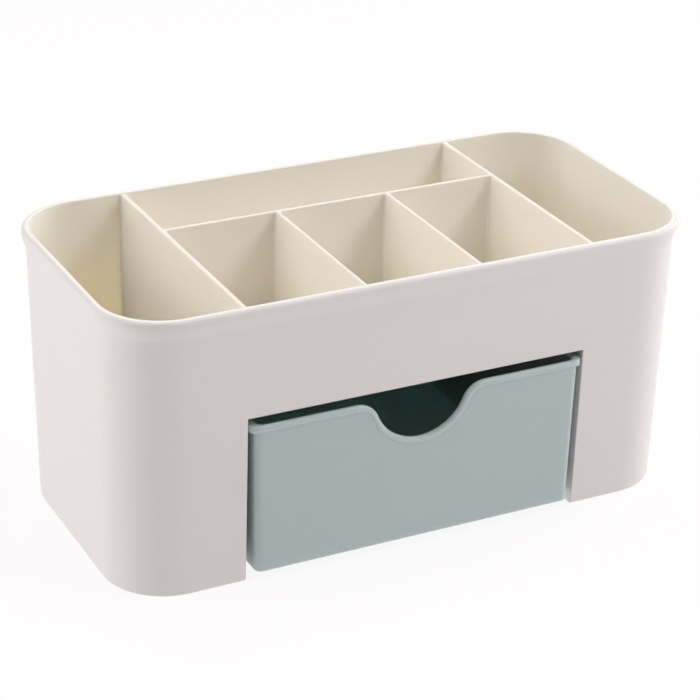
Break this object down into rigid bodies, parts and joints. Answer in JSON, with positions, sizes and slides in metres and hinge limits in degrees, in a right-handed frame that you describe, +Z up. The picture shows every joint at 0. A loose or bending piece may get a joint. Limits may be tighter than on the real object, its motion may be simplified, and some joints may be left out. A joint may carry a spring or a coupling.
{
  "type": "nail art storage box",
  "caption": "Rounded open-top vanity organiser with divided compartments above a pull-out drawer with a finger scoop.",
  "frame": {"origin": "middle of the footprint, on the surface that the box stands on", "axes": "+X along the length, +Z up, the drawer faces and opens towards -Y"},
  "size_m": [0.2232, 0.1132, 0.105],
  "materials": {
    "case_plastic": "fine satin moulded off-white",
    "drawer_plastic": "fine satin moulded grey-green"
  },
  "bodies": {
    "case": {"outer_shell": "case_plastic", "left_cup_floor": "case_plastic", "right_cup_floor": "case_plastic", "left_partition": "case_plastic", "right_partition": "case_plastic", "middle_deck": "case_plastic", "rear_divider": "case_plastic", "short_divider_left": "case_plastic", "short_divider_right": "case_plastic", "drawer_runner_left": "case_plastic", "drawer_runner_right": "case_plastic"},
    "drawer_tray": {"drawer": "drawer_plastic"}
  },
  "joints": [
    {"name": "drawer_slide", "type": "slide", "parent": "case", "child": "drawer_tray", "axis": [0, -1, 0], "range_m": [0, 0.08]}
  ]
}
